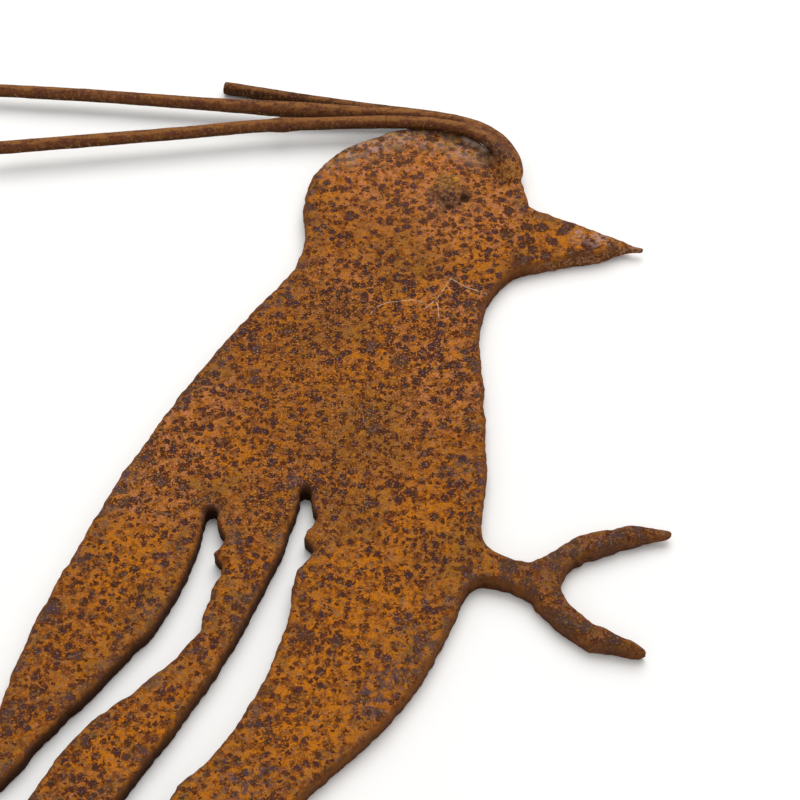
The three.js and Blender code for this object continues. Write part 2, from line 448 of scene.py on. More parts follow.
FIBRE_PALE = paint(214, 186, 156)
# Painted highlight: the pale rim of the crown where it catches the light under the front rod
CRESCENT_HIGHLIGHT = paint(226, 192, 174)
TABLE_SHADE = paint(244, 243, 241)
TABLE_LIGHT = paint(248, 247, 245)

# The rods' streaks are drawn out along X
ROD_STRETCH = (0.35, 1.0, 1.0)

# Rust runs from yellower to bluer from place to place: how much of each light it throws back
YELLOWER = (1.02, 1.0, 0.48)
BLUER = (0.98, 0.98, 1.35)

# Where on the drawing each tint gathers: x, y and reach
DRIFTING_AREAS = {
    "salmon": (
        (-3, 67, 18), (14, 50, 15), (9, 5, 17), (12, 24, 12), (-47, -12, 14), (-41, -1, 12),
        (24, 54, 10), (8, 66, 18), (-48, -24, 14), (4, 72, 10), (-11, 29, 13),
    ),
    "ochre": (
        (-8, -50, 26), (-20, -72, 24), (38, 46, 16), (-48, -42, 22), (10, 66, 12), (-44, -80, 20),
        (8, -30, 16), (-16, 60, 10), (18, 40, 9), (2, 29, 13), (-6, 8, 14), (8, 10, 12),
        (-36, -14, 11), (-44, -36, 10),
    ),
    "olive": (
        (12, -38, 12), (-18, -24, 9), (-37, -24, 10), (-6, -6, 16), (-14, 22, 14), (4, -60, 10),
        (-30, -50, 10), (-10, -30, 10), (12, 60, 7), (-40, 8, 8), (2, 38, 12),
        (-40, -34, 7), (-44, -46, 7), (-48, -55, 7), (-54, -63, 7),
    ),
    "slate": (
        (-38, 14, 8), (-30, 28, 7), (3, -58, 9), (-4, -68, 8), (15, -16, 6),
        (1, 77, 5), (-20, -19, 5), (-28, -86, 8), (20, 70, 4), (9, 56, 5), (-56, -24, 8),
        (-42, -38, 5), (-45, -52, 5), (-12, 72, 7), (-5, 75, 6), (-18, 66, 6),
    ),
    "fine": ((-10, 10, 42), (-48, -20, 18), (-22, -22, 20)),
    "bold": ((36, 45, 16),),
    "crowded": ((9, 10, 17), (12, 27, 13), (3, 30, 10), (-32, 20, 8), (-44, 4, 8)),
}
STILL_AREAS = {
    "crown": ((-14, 71, 7), (-7, 75, 7), (0, 78, 7), (8, 77, 7), (15, 74, 7), (19, 72, 6)),
    "bleached": ((4, 64, 26), (2, 78, 12)),
    "foot": ((46, -34, 24), (38, -52, 20), (30, -41, 11)),
    "foot_spots": (
        (21.2, -40.2, 3.6), (20.1, -44.2, 2.8), (24, -43.9, 1.9), (24.9, -46.2, 2.6),
        (27.6, -50.8, 2.2), (30, -51.6, 2.5), (31.5, -53.6, 2.8), (34.6, -54.1, 2.2),
        (39.9, -57.2, 3.2), (30.2, -37.6, 2.2), (29.8, -40.8, 2.4), (33.8, -35.2, 2),
        (38.9, -36.1, 2.8), (41.4, -35.2, 2.2), (47.2, -33.7, 2.6), (42.8, -33.1, 2),
        (30.2, -46.2, 2.4), (26.4, -40.2, 2.2),
    ),
    "beak_wall": ((48, 42, 14), (38, 39, 13)),
    "beak_tan": ((39, 45.8, 3), (44, 44.8, 4), (50.5, 42.3, 4.5)),
    "beak_spots": (
        (41.6, 43.4, 3), (40.5, 40.4, 2.8), (46.5, 43.1, 2.4), (35.8, 47.4, 2.4), (37.6, 48.6, 2),
        (31.1, 48.3, 2.4), (27.9, 48.6, 2.2), (26.6, 38.6, 2.8), (31.8, 39.8, 2.2),
        (33.4, 44.3, 2), (28.4, 44.3, 2), (37.4, 41, 2.2), (29, 41.6, 1.9), (23.4, 46.6, 2.6),
        (24, 53.4, 2),
    ),
    "eye_olive": ((10.8, 61.8, 4.4),),
    "eye_dark": ((10.4, 57, 3.8), (7.4, 59.2, 2.4), (14.6, 58.4, 2.8)),
    "weld_dark": ((19.6, 70.4, 3.4), (21.8, 69.4, 4), (24, 68.4, 3.6)),
    "weld_tan": ((25.4, 64.4, 3.4), (23.6, 64, 2.6)),
}

# The share of its reach within which an area or a patch is whole
AREA_CORE = 0.25

# What makes the drifting areas ragged: size, reach, and the seed that keeps it the same each run
DRIFT_SIZE = 9.0
DRIFT_REACH = 6.0
DRIFT_SEED = 1795668398

# Small patches, drawn in the shader: x, y and reach
# Painted highlight on the crown's rounded rim, just under the front rod
CRESCENT_HIGHLIGHT_PATCHES = ((15.8, 76.4, 2.2), (17.8, 75.2, 2.4), (19.6, 73.6, 2.2))
PIT_PATCHES = ((14.6, 57.2, 1.7), (11.0, 54.8, 1.4), (13.2, 55.6, 0.6), (10.2, 52.9, 0.5))
EYE_YELLOW_PATCHES = ((12.7, 62.4, 1.1),)
# Painted shade in the pits at the ends of the slots
SLOT_END_SHADE_PATCHES = ((-37.1, -27.5, 2.0), (-18.6, -22.4, 2.1))

# A stray fibre that lies on the throat
FIBRE_REACH = 0.22
FIBRES = (
    ((-6.2, 23.4), (-4.7, 25.4), (-2.6, 26.5), (3.0, 27.3), (4.9, 26.5)),
    ((5.3, 24.8), (7.7, 27.1), (11.0, 33.3), (14.2, 30.8), (17.0, 29.6), (20.6, 27.9)),
    ((7.7, 26.8), (8.1, 25.4), (8.3, 21.7)),
)


def mark_areas(mesh):
    """Each area's share at every corner of a mesh, for the finishes to read."""
    count = len(mesh.vertices)
    corners = np.empty(count * 3)
    mesh.vertices.foreach_get("co", corners)
    places = (corners.reshape(count, 3) - np.array(DRAWING_ZERO)) / MM
    noise.seed_set(DRIFT_SEED)
    drift = np.array([noise.noise_vector(Vector(place) / DRIFT_SIZE) for place in places]) * DRIFT_REACH
    for areas, plan in ((STILL_AREAS, places), (DRIFTING_AREAS, places + drift)):
        for name, spots in areas.items():
            share = np.zeros(count)
            for x, y, reach in spots:
                distance = np.hypot(plan[:, 0] - x, plan[:, 1] - y)
                along = np.clip((reach - distance) / (reach * (1 - AREA_CORE)), 0, 1)
                share = np.maximum(share, along * along * (3 - 2 * along))
            mesh.attributes.new(name, "FLOAT", "POINT").data.foreach_set("value", share)


def weld_tints(rust, under, height):
    """The tints round the eye and the crest's weld, which run from the weld on to the plate."""
    flat = rust.flat(rust.place)
    mottle = rust.cloud(0.7, seed=32.0, detail=4.0)
    tear = (mottle - 0.5) * 2.2

    def torn(share, covers):
        return rust.step(share + tear, 0.1, 0.75) * covers

    olive_tint = rust.mix(rust.step(mottle, 0.4, 0.5), FRECKLE_HALO, WELD_OLIVE)
    olive_tint = rust.mix(rust.step(mottle, 0.5, 0.6), olive_tint, WELD_TAN)
    tan_tint = rust.mix(rust.step(mottle, 0.44, 0.5), FRECKLE_HALO, WELD_OLIVE)
    tan_tint = rust.mix(rust.step(mottle, 0.5, 0.58), tan_tint, WELD_TAN)
    dark_tint = rust.mix(rust.step(mottle, 0.46, 0.6), FRECKLE_HEART, WELD_OLIVE)
    dark_tint = rust.mix(rust.step(mottle, 0.58, 0.68) * 0.8, dark_tint, LILAC)
    colour = rust.mix(torn(rust.area("weld_dark"), 0.7), under, dark_tint)
    colour = rust.mix(torn(rust.area("weld_tan"), 0.65), colour, tan_tint)
    colour = rust.mix(torn(rust.area("eye_olive"), 0.85), colour, olive_tint)
    colour = rust.mix(torn(rust.area("eye_dark"), 0.65), colour, dark_tint)
    colour = rust.mix(rust.patches(EYE_YELLOW_PATCHES, flat) * 0.8, colour, EYE_YELLOW)
    colour = rust.mix(torn(rust.patches(PIT_PATCHES, flat), 0.9), colour, PIT_BLACK)
    return rust.mix(rust.step(height, 1.0, 2.5), under, colour)


class PlateMarks:
    """The areas and noises that several tints of the plate share."""

    def __init__(self, rust):
        self.edge = rust.area("from_edge")
        self.shut_in = rust.area("shut_in")
        self.foot = rust.area("foot")
        self.ochre = rust.area("ochre")
        self.bold = rust.area("bold")
        self.fine = rust.area("fine")
        self.height = rust.coordinate(rust.place, "Z")
        self.bloom = rust.cloud(1.4, seed=6.0)
        self.stain = rust.cloud(2.0, seed=10.0, detail=4.0)
        self.scab = rust.cloud(1.4, seed=14.0, detail=4.0)
        self.crumbled = rust.cloud(0.8, seed=36.0, detail=4.0)
        self.crumb = (rust.cloud(0.4, seed=20.0) - 0.5) * 1.2
        self.clump = rust.cloud(1.5, seed=22.0, detail=5.0, roughness=0.65) + self.fine * 0.01
        weathered = rust.step(rust.cloud(6.0, seed=8.0, detail=2.0), 0.4, 0.6)
        self.near_edge = rust.step(self.edge, 5.5, 1.0) * weathered


def ground(rust, marks):
    """The orange and brown rust under the freckles."""
    warm = rust.step(rust.cloud(0.6, seed=1.0), 0.38, 0.6)
    dry = rust.step(rust.cloud(1.3, seed=2.0, detail=4.0), 0.48, 0.6)
    red = rust.step(rust.cloud(1.0, seed=13.0, detail=4.0), 0.5, 0.62)
    olive = rust.greater(rust.area("olive"), marks.near_edge)
    colour = rust.mix(warm, BROWN_ORANGE, ORANGE)
    colour = rust.mix(dry * 0.8, colour, TAN)
    colour = rust.mix(red * 0.7, colour, RED_ORANGE)
    colour = rust.mix(marks.ochre * rust.step(marks.bloom, 0.38, 0.58) * 0.9, colour, BRIGHT_OCHRE)
    colour = rust.mix(rust.area("salmon") * rust.step(marks.bloom, 0.58, 0.42) * 0.85, colour, SALMON)
    colour = rust.mix(olive * rust.step(marks.stain, 0.3, 0.6) * 0.75, colour, OLIVE)
    colour = rust.mix(rust.area("bleached") * 0.24, colour, SALMON)
    return rust.mix(marks.foot * 0.8, colour, FOOT_BROWN)


def freckles(rust, marks, colour):
    """Dust, then freckles of three sizes with halos and cold hearts, and how much each point is freckle."""
    fine = marks.fine
    bold = marks.bold
    crumb = marks.crumb
    clump = marks.clump
    crowded = rust.area("crowded")
    crowd = rust.step(rust.cloud(11.0, seed=9.0, detail=2.0), 0.3, 0.7)
    lower = rust.step(rust.coordinate(rust.place, "Y"), -25.0, -60.0)
    ragged = rust.shaken(1.1, 0.7, seed=4.0, detail=4.0)

    small_swell = 0.82 + fine * 0.15 - bold * 0.3 + crowded * 0.1
    small = rust.islands(1.15, 0.62, 0.85, ragged, 11.3, swell=small_swell) + crumb
    coarse_swell = 0.9 + crowd * 0.18 - fine * 0.1 - marks.ochre * 0.08 - bold * 0.25 + crowded * 0.32
    coarse = rust.islands(1.8, 0.56, 0.85, ragged, 23.1, swell=coarse_swell) + crumb * 0.7
    blotch = rust.islands(6.0, 0.3, 0.4, ragged, 51.9) + (clump - 0.5) * 0.8
    heart_tint = rust.mix(marks.near_edge, FRECKLE_HEART, SLATE)
    dust = rust.step(rust.cloud(0.32, seed=21.0, detail=2.0), 0.46, 0.62)

    colour = rust.mix(dust * (0.4 + fine * 0.25), colour, FRECKLE_HALO)
    colour = rust.mix(rust.step(clump, 0.5, 0.58) * 0.66, colour, FRECKLE_HALO)
    colour = rust.mix(rust.step(small, -0.08, 0.06) * 0.7, colour, FRECKLE_HALO)
    colour = rust.mix(rust.step(small, 0.02, 0.16) * 0.88, colour, FRECKLE)
    colour = rust.mix(rust.step(coarse, -0.16, -0.02) * 0.7, colour, FRECKLE_HALO)
    colour = rust.mix(rust.step(coarse, -0.04, 0.08) * (0.95 - lower * 0.25), colour, FRECKLE)
    colour = rust.mix(rust.step(coarse, 0.08, 0.26) * 0.75, colour, heart_tint)
    colour = rust.mix(rust.step(blotch, -0.08, 0.06) * 0.8, colour, FRECKLE)
    colour = rust.mix(rust.step(blotch, 0.04, 0.16) * 0.6, colour, SLATE)
    speckled = rust.greater(rust.step(clump, 0.54, 0.6), rust.step(coarse, -0.05, 0.05))
    return colour, speckled


def placed_spots(rust, marks, colour):
    """The larger spots of the beak and the foot."""
    bite = (marks.clump - 0.5) * 2.0 + marks.crumb * 0.5
    beak_spot = rust.area("beak_spots") + bite
    foot_spot = rust.area("foot_spots") + bite
    colour = rust.mix(rust.step(beak_spot, 0.25, 0.45) * 0.7, colour, FRECKLE_HALO)
    colour = rust.mix(rust.step(beak_spot, 0.4, 0.6) * 0.9, colour, FRECKLE)
    colour = rust.mix(rust.step(beak_spot, 0.7, 1.1) * 0.6, colour, SLATE)
    colour = rust.mix(rust.step(foot_spot, 0.15, 0.5) * 0.6, colour, FRECKLE_HALO)
    return rust.mix(rust.step(foot_spot, 0.4, 0.9) * 0.85, colour, FOOT_SLATE)


def scabs(rust, marks, colour):
    """Slate scabs, pale crumbs, the pale flakes of the beak, and the pale lilac of the crown, partly a
    painted highlight of its rounded rim.
    """
    crown = rust.area("crown")
    flaked = rust.cloud(1.7, seed=38.0, detail=4.0)
    scab = marks.scab
    crumb = marks.crumb
    colour = rust.mix(marks.near_edge * rust.step(marks.stain, 0.5, 0.58) * 0.6, colour, SLATE)
    colour = rust.mix(rust.area("slate") * rust.step(scab, 0.46, 0.58) * 0.8, colour, SLATE)
    colour = rust.mix(rust.step(crumb, -0.08, -0.2) * (0.3 + marks.fine * 0.4), colour, PALE_CRUMB)
    # Pale lilac flakes along the crown, partly a painted highlight where its rounded rim catches the light
    colour = rust.mix(crown * rust.step(flaked, 0.45, 0.52) * 0.85, colour, LILAC)
    colour = rust.mix(rust.area("beak_tan") * rust.step(marks.crumbled, 0.45, 0.57) * 0.8, colour, LILAC)
    colour = rust.mix(crown * rust.step(scab, 0.5, 0.58) * 0.8, colour, SLATE)
    return rust.mix(rust.area("bleached") * 0.06, colour, SALMON)


def worn_edge(rust, marks, colour):
    """The brown worn rim, the walls' dark scale, darker towards the back, with painted shade deepening it
    in the narrow slots, and painted shade at the ends of the slots.
    """
    edge = marks.edge + (marks.crumbled - 0.5) * 0.7
    colour = rust.mix(rust.step(edge, 1.2, 0.1) * (0.6 - marks.foot * 0.35), colour, RIM_BROWN)
    tint = rust.mix(rust.step(marks.height, 3.4, 0.6), WALL_BROWN, WALL_DARK)
    tint = rust.mix(rust.step(marks.scab, 0.5, 0.64) * 0.5, tint, WALL_DARK)
    chipped = marks.crumbled + marks.crumb * 0.6
    beak_tint = rust.mix(rust.step(chipped, 0.38, 0.47), FRECKLE, RIM_BROWN)
    beak_tint = rust.mix(rust.step(chipped, 0.49, 0.58), beak_tint, BEAK_WALL)
    tint = rust.mix(rust.area("beak_wall"), tint, beak_tint)
    # The slot walls: heat scale, darkened further by painted shade deeper in the narrow slots
    slot_scale_and_shade = rust.mix(rust.step(marks.height, 3.2, 1.2), SLOT_BROWN, WALL_BLACK)
    tint = rust.mix(marks.shut_in, tint, slot_scale_and_shade)
    wall = rust.step(edge, 1.1, 0.1) * rust.step(marks.height, 3.8, 2.9)
    colour = rust.mix(wall * (marks.shut_in * 0.35 + 0.6 - marks.foot * 0.35), colour, tint)
    # Painted shade: near black in the pits at the ends of the slots
    return rust.mix(rust.patches(SLOT_END_SHADE_PATCHES, rust.flat(rust.place)) * 0.85, colour, WALL_BLACK)


def plate_colour(rust):
    """The freckled rust of the plate, with painted highlights on the crown's rim and painted shade in the
    slots, and how much each point is freckle.
    """
    marks = PlateMarks(rust)
    colour, speckled = freckles(rust, marks, ground(rust, marks))
    colour = placed_spots(rust, marks, colour)
    colour = scabs(rust, marks, colour)
    yellower = rust.vector("MULTIPLY", colour, YELLOWER)
    bluer = rust.vector("MULTIPLY", colour, BLUER)
    colour = rust.mix(rust.step(marks.crumbled, 0.42, 0.58), yellower, bluer)
    colour = weld_tints(rust, colour, marks.height)
    # Painted highlight: the crown's rounded rim under the front rod, made pale enough to show through the
    # rod's shadow
    colour = rust.mix(rust.patches(CRESCENT_HIGHLIGHT_PATCHES, rust.place) * 0.9, colour, CRESCENT_HIGHLIGHT)
    colour = worn_edge(rust, marks, colour)
    fibre = rust.step(from_fibre(rust), FIBRE_REACH, 0.0) * rust.step(marks.bloom, 0.3, 0.6)
    return rust.mix(fibre * 0.6, colour, FIBRE_PALE), speckled


def from_fibre(rust):
    """How far each point is from the stray fibre."""
    nearest = None
    for bends in FIBRES:
        for start, end in zip(bends, bends[1:]):
            away = rust.from_line(start, end, rust.place)
            nearest = away if nearest is None else rust.smaller(nearest, away)
    return nearest


def rod_colour(rust):
    """The brown rust of the rods, with a painted highlight on top and painted shade underneath, darker low
    down, and its streaks for the grain.
    """
    height = rust.coordinate(rust.place, "Z")
    upward = rust.area("upward")
    stretched = rust.vector("MULTIPLY", rust.place, ROD_STRETCH)
    streak = rust.cloud(1.2, seed=22.0, detail=5.0, place=stretched)
    mottle = rust.cloud(0.6, seed=26.0, detail=3.0)
    wide = rust.cloud(3.4, seed=27.0, detail=4.0)
    colour = rust.mix(rust.step(streak, 0.34, 0.66), ROD_PURPLE, ROD_BROWN)
    colour = rust.mix(rust.step(wide, 0.5, 0.64) * 0.3, colour, ROD_TAN)
    # Painted highlight: tan along the tops of the rods, where the light falls on them
    painted_highlight = rust.step(upward + (streak - 0.5) * 0.9, 0.84, 1.02)
    colour = rust.mix(painted_highlight * 0.6, colour, ROD_TAN)
    # Painted shade: dark on the rods' undersides, turned away from the light
    under = rust.step(upward + (mottle - 0.5) * 1.2, 0.5, -0.1)
    colour = rust.mix(under * 0.8, colour, ROD_DARK)
    low = rust.step(height + (streak - 0.5) * 1.2, 3.5, 2.4)
    colour = rust.mix(low * 0.85, colour, ROD_DARK)
    colour = rust.mix(rust.step(mottle, 0.5, 0.66) * 0.45, colour, ROD_DARK)
    colour = rust.mix(rust.step(mottle, 0.46, 0.3) * 0.35, colour, ROD_TAN)
    return colour, streak + mottle


def freckled_rust():
    rust = Finish("freckled_rust")
    colour, speckled = plate_colour(rust)
    roughness = 0.9 - speckled * 0.1
    scale = rust.cloud(0.45, seed=16.0) + rust.cloud(2.4, seed=17.0, detail=2.0) * 1.4
    return rust.close(colour, roughness, rust.grain(scale, 0.7, 0.14))


def brown_rust():
    rust = Finish("brown_rust")
    colour, streaks = rod_colour(rust)
    colour = weld_tints(rust, colour, rust.coordinate(rust.place, "Z"))
    return rust.close(colour, 0.82, rust.grain(streaks, 0.6, 0.12))


def weld_rust():
    """The plate's rust low on a weld and the rods' rust high on it, which meet in a ragged line."""
    rust = Finish("weld_rust")
    plate_tint, speckled = plate_colour(rust)
    rod_tint = rust.mix(0.08, rod_colour(rust)[0], ROD_DARK)
    ragged = rust.shaken(0.9, 0.9, seed=34.0, detail=5.0)
    up = rust.coordinate(ragged, "Y")
    colour = rust.mix(rust.step(up, 68.0, 71.5), plate_tint, rod_tint)
    grain = rust.cloud(0.5, seed=33.0) + rust.cloud(0.9, seed=35.0)
    return rust.close(colour, 0.9 - speckled * 0.1, rust.grain(grain, 0.7, 0.16))


def pale_table():
    table = Finish("pale_table")
    soft = table.cloud(60.0, seed=41.0)
    colour = table.mix(soft, TABLE_SHADE, TABLE_LIGHT)
    return table.close(colour, 0.9, table.grain(table.cloud(0.8, seed=42.0), 0.05, 0.02))


# Outline of the plate, taken from the solid that it stands for

def cut_line():
    """The closed outline of the plate at half its thickness, in drawing millimetres."""
    slice_mesh = bmesh.new()
    slice_mesh.from_mesh(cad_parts["bird_sheet"].data)
    bmesh.ops.remove_doubles(slice_mesh, verts=slice_mesh.verts, dist=SAME_CORNER)
    everything = slice_mesh.verts[:] + slice_mesh.edges[:] + slice_mesh.faces[:]
    middle = at(0, 0, PLATE_THICKNESS / 2)
    bmesh.ops.bisect_plane(
        slice_mesh, geom=everything, plane_co=middle, plane_no=(0, 0, 1),
        clear_inner=True, clear_outer=True)
    loop = []
    first = slice_mesh.verts[:][0]
    corner = first
    came_by = None
    while corner is not None:
        loop.append(((corner.co - DRAWING_ZERO) / MM).xy)
        ahead = [edge for edge in corner.link_edges if edge is not came_by]
        came_by = ahead[0]
        corner = came_by.other_vert(corner)
        if corner is first:
            corner = None
    slice_mesh.free()
    return np.array([tuple(point) for point in loop])


def even_steps(loop, step):
    """The closed line walked again with equal steps."""
    ends = np.vstack([loop, loop[:1]])
    reach = np.concatenate([[0], np.cumsum(np.hypot(*np.diff(ends, axis=0).T))])
    count = int(round(reach[-1] / step))
    stops = np.linspace(0, reach[-1], count, endpoint=False)
    return np.column_stack([np.interp(stops, reach, ends[:, axis]) for axis in (0, 1)])


def inward(loop):
    """The direction in which the plate lies, at each point of its edge."""
    along = np.roll(loop, -1, axis=0) - np.roll(loop, 1, axis=0)
    along /= np.hypot(*along.T)[:, None]
    turned = np.column_stack([-along[:, 1], along[:, 0]])
    x, y = loop.T
    area = np.sum(x * np.roll(y, -1) - np.roll(x, -1) * y) / 2
    return turned if area > 0 else -turned


def waves(sizes, x, y, z):
    """Seeded soft noise summed over pairs of lump size and height, in millimetres."""
    return sum(height * noise.noise(Vector((x, y, z)) / size) for size, height in sizes)


def bulge(x, y, spot):
    """A soft bump of a reach and a height about a point."""
    centre_x, centre_y, reach, height = spot
    share = max(0.0, 1 - math.hypot(x - centre_x, y - centre_y) / reach)
    return height * share * share * (3 - 2 * share)


def torn_outline():
    """The solid's outline, smoothed, then roughened and drawn out as the torch and the wear left it."""
    loop = even_steps(cut_line(), EDGE_STEP)
    for _ in range(EDGE_SMOOTHINGS):
        loop = (np.roll(loop, 1, axis=0) + 2 * loop + np.roll(loop, -1, axis=0)) / 4
    swells = [swell for part in OUTLINE_SWELLS.values() for swell in part]
    push = np.array([
        waves(EDGE_RIPPLES, x, y, EDGE_LEVEL) - sum(bulge(x, y, swell) for swell in swells)
        for x, y in loop])
    loop = loop + inward(loop) * push[:, None]
    for tip_x, tip_y, reach, push_x, push_y in DRAWN_TIPS:
        share = np.array([bulge(x, y, (tip_x, tip_y, reach, 1.0)) for x, y in loop])
        loop = loop + share[:, None] * np.array([push_x, push_y])
    return loop


def inside(points, loop):
    """Which points lie within the closed line."""
    x, y = points.T
    hit = np.zeros(len(points), bool)
    for (x0, y0), (x1, y1) in zip(loop, np.roll(loop, -1, axis=0)):
        if y0 != y1:
            crosses = (y0 > y) != (y1 > y)
            hit ^= crosses & (x < (x1 - x0) * (y - y0) / (y1 - y0) + x0)
    return hit


class EdgeFinder:
    """How far points are from the cut edge."""

    def __init__(self, loop):
        dense = even_steps(loop, EDGE_STEP / 4)
        self.size = len(dense)
        self.tree = kdtree.KDTree(self.size)
        for index, (x, y) in enumerate(dense):
            self.tree.insert((x, y, 0), index)
        self.tree.balance()

    def distances(self, points):
        return np.array([self.tree.find((x, y, 0))[2] for x, y in points])

    def nearest(self, points, count):
        """Which of the count corners of the edge lies nearest to each point."""
        found = np.array([self.tree.find((x, y, 0))[1] for x, y in points])
        return found * count // self.size


def face_points(loop, finder):
    """Points to hang the face on: rings that follow the worn rim, then an even spread."""
    rings = []
    wear = np.array([front_rounding(x, y) for x, y in loop])
    for turn in RIM_TURNS:
        depth = wear * (1 - math.cos(math.radians(turn)))
        ring = loop + inward(loop) * depth[:, None]
        keep = inside(ring, loop)
        keep[keep] = finder.distances(ring[keep]) > RING_CLEARANCE * depth[keep]
        rings.append(ring[keep])
    low, high = loop.min(0), loop.max(0)
    rows = np.arange(low[1], high[1], FACE_STEP * math.sqrt(3) / 2)
    spread = [
        (x + (row % 2) * FACE_STEP / 2, y)
        for row, y in enumerate(rows) for x in np.arange(low[0], high[0], FACE_STEP)]
    spread = np.array(spread)
    spread = spread[inside(spread, loop)]
    spread = spread[finder.distances(spread) > FRONT_ROUNDING + SPREAD_CLEARANCE * FACE_STEP]
    return np.vstack(rings + [spread])


def front_rounding(x, y):
    """The radius of the worn front rim: the toes are worn nearly round."""
    from_foot = math.hypot(x - FOOT_CENTRE[0], y - FOOT_CENTRE[1])
    foot = min(max((FOOT_REACH - from_foot) / FOOT_FADE, 0), 1)
    unevenness = ROUNDING_VARIES * noise.noise(Vector((x, y, WEAR_LEVEL)) / ROUNDING_LUMP)
    plain = FRONT_ROUNDING * (1 + unevenness)
    return plain + (TOE_ROUNDING - plain) * foot


def rounded(distance, radius):
    """How far a worn rim has dropped below its face, at a distance from the edge."""
    if distance >= radius:
        return 0.0
    return radius - math.sqrt(radius ** 2 - (radius - distance) ** 2)


def beak_squeeze(x):
    """The share of the plate's thickness that is left, near the tip of the beak."""
    along = min(max((x - (BEAK_TIP_X - BEAK_TAPER)) / BEAK_TAPER, 0), 1)
    return 1 - (1 - BEAK_TIP_SHARE) * along


def gap_ahead(loop):
    """How much each point of the edge is shut in by another edge across a narrow slot: 0 to 1."""
    out = -inward(loop)
    shut = []
    near, far = NARROW_GAP
    for point, normal in zip(loop, out):
        across = loop - point
        reach = np.hypot(*across.T)
        facing = (across @ normal > FACING_SHARE * reach) & (reach > 0)
        gap = reach[facing].min() if facing.any() else far
        shut.append(min(max((far - gap) / (far - near), 0), 1))
    return np.array(shut)


def face_net(loop, finder):
    """The face's points and triangles, and which of the points are the edge's."""
    count = len(loop)
    points = [Vector(point) for point in np.vstack([loop, face_points(loop, finder)])]
    edges = [(i, (i + 1) % count) for i in range(count)]
    spots, _, faces, came_from, _, _ = delaunay_2d_cdt(points, edges, [], INSIDE_ONLY, SAME_POINT)
    spot_of = {}
    for index, sources in enumerate(came_from):
        for source in sources:
            spot_of[source] = index
    rim = [spot_of[i] for i in range(count)]
    return spots, faces, rim


class Skin:
    """The plate's mesh in the making, whose corners carry how they lie to the cut edge."""

    def __init__(self):
        self.shape = bmesh.new()
        self.from_edge = self.shape.verts.layers.float.new("from_edge")
        self.shut_in = self.shape.verts.layers.float.new("shut_in")

    def corner(self, x, y, z, from_edge, shut_in):
        middle = PLATE_THICKNESS / 2
        made = self.shape.verts.new(at(x, y, middle + (z - middle) * beak_squeeze(x)))
        made[self.from_edge] = from_edge
        made[self.shut_in] = shut_in
        return made

    def row_of_wall(self, share, edge, normals, edge_shut):
        """A row of corners at a share of the wall's height, counted from the front."""
        row = []
        for (x, y), normal, closed in zip(edge, normals, edge_shut):
            top = PLATE_THICKNESS - front_rounding(x, y)
            z = top + (BACK_ROUNDING - top) * share
            drag = WALL_DISH + waves(WALL_RIPPLES, x, y, z * WALL_STRETCH)
            row.append(self.corner(x + normal[0] * drag, y + normal[1] * drag, z, 0.0, closed))
        return row

    def join(self, upper, lower):
        """Faces between two rows that run round the plate."""
        count = len(upper)
        for i in range(count):
            j = (i + 1) % count
            self.shape.faces.new([upper[i], lower[i], lower[j], upper[j]])


def plate():
    """The sheet as one skin: a front and a back face on the same points, and a dished wall between them."""
    loop = torn_outline()
    finder = EdgeFinder(loop)
    spots, faces, rim = face_net(loop, finder)
    places = np.array([tuple(spot) for spot in spots])
    distance = finder.distances(places)
    distance[rim] = 0
    edge_shut = gap_ahead(loop)
    shut = edge_shut[finder.nearest(places, len(loop))]

    skin = Skin()
    front = []
    back = []
    for (x, y), gap, closed in zip(spots, distance, shut):
        wear = front_rounding(x, y)
        lift = waves(FACE_WAVES, x, y, FACE_LEVEL) * min(gap / wear, 1) - rounded(gap, wear)
        lift -= sum(bulge(x, y, pit) for pit in PITS)
        front.append(skin.corner(x, y, PLATE_THICKNESS + lift, gap, closed))
        back.append(skin.corner(x, y, rounded(gap, BACK_ROUNDING), gap, closed))
    for face in faces:
        skin.shape.faces.new([front[i] for i in face])
        skin.shape.faces.new([back[i] for i in reversed(face)])

    edge = [spots[i] for i in rim]
    normals = inward(places[rim])
    rows = [[front[i] for i in rim]]
    rows += [skin.row_of_wall(share, edge, normals, edge_shut) for share in WALL_ROWS]
    rows.append([back[i] for i in rim])
    for upper, lower in zip(rows, rows[1:]):
        skin.join(upper, lower)
    bmesh.ops.recalc_face_normals(skin.shape, faces=skin.shape.faces[:])
    return finished("plate", skin.shape)


def finished(name, shape):
    """A mesh with smooth shading, in the scene."""
    shape.normal_update()
    # How much each corner faces up: the rods' painted highlight and painted shade are read from it
    upward = shape.verts.layers.float.new("upward")
    for vertex in shape.verts:
        vertex[upward] = vertex.normal.z
    mesh = bpy.data.meshes.new(name)
    shape.to_mesh(mesh)
    shape.free()
    mesh.polygons.foreach_set("use_smooth", [True] * len(mesh.polygons))
    piece = bpy.data.objects.new(name, mesh)
    bpy.context.scene.collection.objects.link(piece)
    return piece


# Rods

def smooth_path(turns, step):
    """Equal steps along a curve through the turns."""
    turns = [Vector(turn) for turn in turns]
    ends = [turns[0] * 2 - turns[1]] + turns + [turns[-1] * 2 - turns[-2]]
    dense = []
    for a, b, c, d in zip(ends, ends[1:], ends[2:], ends[3:]):
        knots = [0.0]
        for start, end in ((a, b), (b, c), (c, d)):
            knots.append(knots[-1] + math.sqrt((end - start).length))
        for part in range(CURVE_PARTS):
            t = knots[1] + (knots[2] - knots[1]) * part / CURVE_PARTS
            dense.append(between(a, b, c, d, knots, t))
    dense.append(turns[-1])
    reach = [0.0]
    for start, end in zip(dense, dense[1:]):
        reach.append(reach[-1] + (end - start).length)
    table = np.array([tuple(point) for point in dense])
    stops = np.linspace(0, reach[-1], int(reach[-1] / step) + 1)
    return [Vector([np.interp(stop, reach, table[:, axis]) for axis in range(3)]) for stop in stops]


